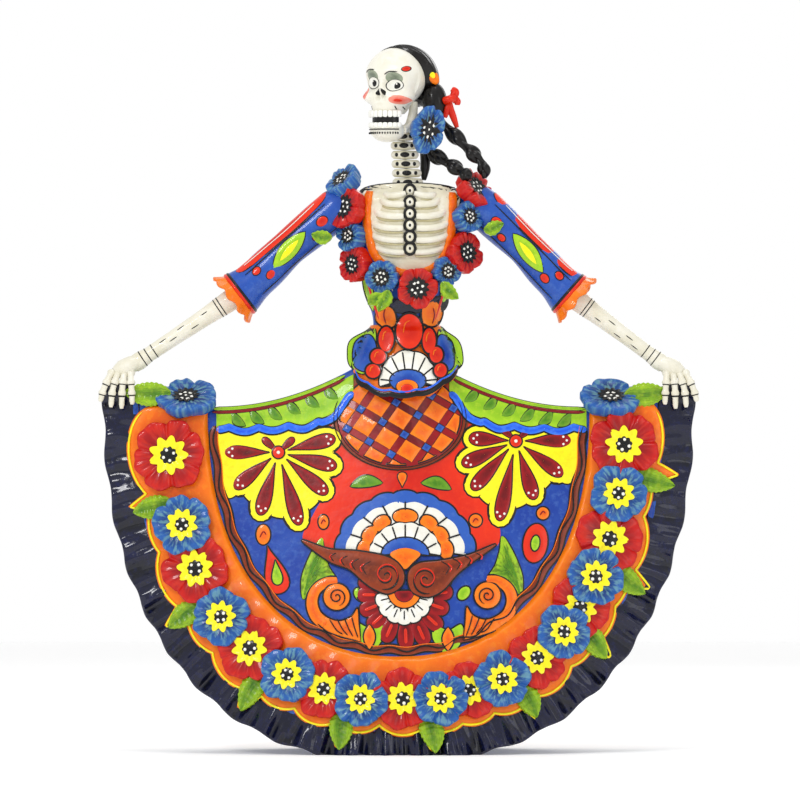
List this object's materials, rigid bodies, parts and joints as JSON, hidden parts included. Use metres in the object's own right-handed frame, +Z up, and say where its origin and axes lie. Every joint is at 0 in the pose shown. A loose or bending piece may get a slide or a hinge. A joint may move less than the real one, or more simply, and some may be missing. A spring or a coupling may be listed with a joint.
{
  "type": "catrina figure",
  "caption": "Glazed earthenware skeleton dancer who spreads a wide flower-edged skirt with both hands and stands on its hem.",
  "frame": {"origin": "on the floor, below the middle of the figure's overall box", "axes": "+Z up, -Y out of the front of the skirt, +X to the right of someone looking at the front"},
  "size_m": [0.426, 0.155, 0.5015],
  "materials": {
    "skirt_glaze": "glossy painted glaze",
    "navy_glaze": "glossy dark glaze",
    "orange_glaze": "glossy glaze",
    "black_glaze": "glossy black glaze",
    "green_glaze": "glossy glaze with dark veins",
    "red_glaze": "glossy glaze",
    "flower_blue_glaze": "glossy mottled glaze",
    "bone_glaze": "glossy white glaze"
  },
  "bodies": {
    "root": {"bodice": "skirt_glaze", "braid_inner": "black_glaze", "braid_outer": "black_glaze", "collar_flower_eyes": "black_glaze", "collar_flowers_blue": "flower_blue_glaze", "collar_flowers_red": "red_glaze", "corner_flower_left": "flower_blue_glaze", "corner_flower_right": "flower_blue_glaze", "cuff_left": "orange_glaze", "cuff_right": "orange_glaze", "forearm_left": "bone_glaze", "forearm_right": "bone_glaze", "garland_band_back": "orange_glaze", "garland_band_front": "orange_glaze", "garland_flower_blue_01": "flower_blue_glaze", "garland_flower_blue_02": "flower_blue_glaze", "garland_flower_blue_03": "flower_blue_glaze", "garland_flower_blue_04": "flower_blue_glaze", "garland_flower_blue_05": "flower_blue_glaze", "garland_flower_blue_06": "flower_blue_glaze", "garland_flower_blue_07": "flower_blue_glaze", "garland_flower_blue_08": "flower_blue_glaze", "garland_flower_blue_09": "flower_blue_glaze", "garland_flower_eyes_back": "black_glaze", "garland_flower_eyes_front": "black_glaze", "garland_flower_red_01": "red_glaze", "garland_flower_red_02": "red_glaze", "garland_flower_red_03": "red_glaze", "garland_flower_red_04": "red_glaze", "garland_flower_red_05": "red_glaze", "garland_flower_red_06": "red_glaze", "garland_flower_red_07": "red_glaze", "garland_flower_red_08": "red_glaze", "garland_flower_red_09": "red_glaze", "garland_flower_red_10": "red_glaze", "garland_flowers_blue_back": "flower_blue_glaze", "garland_flowers_red_back": "red_glaze", "garland_leaves_back": "green_glaze", "garland_leaves_front": "green_glaze", "hair": "black_glaze", "hair_flower": "flower_blue_glaze", "hand_left": "bone_glaze", "hand_right": "bone_glaze", "hem_ruffle_back": "navy_glaze", "hem_ruffle_front": "navy_glaze", "jaw": "bone_glaze", "lower_teeth": "bone_glaze", "neck_vertebrae": "bone_glaze", "peplum": "orange_glaze", "ribbon_bow": "red_glaze", "ribcage": "bone_glaze", "ribs": "bone_glaze", "skirt_back_panel": "skirt_glaze", "skirt_front_panel": "skirt_glaze", "skull": "bone_glaze", "sleeve_left": "skirt_glaze", "sleeve_right": "skirt_glaze", "sternum": "bone_glaze", "upper_teeth": "bone_glaze"}
  },
  "joints": []
}
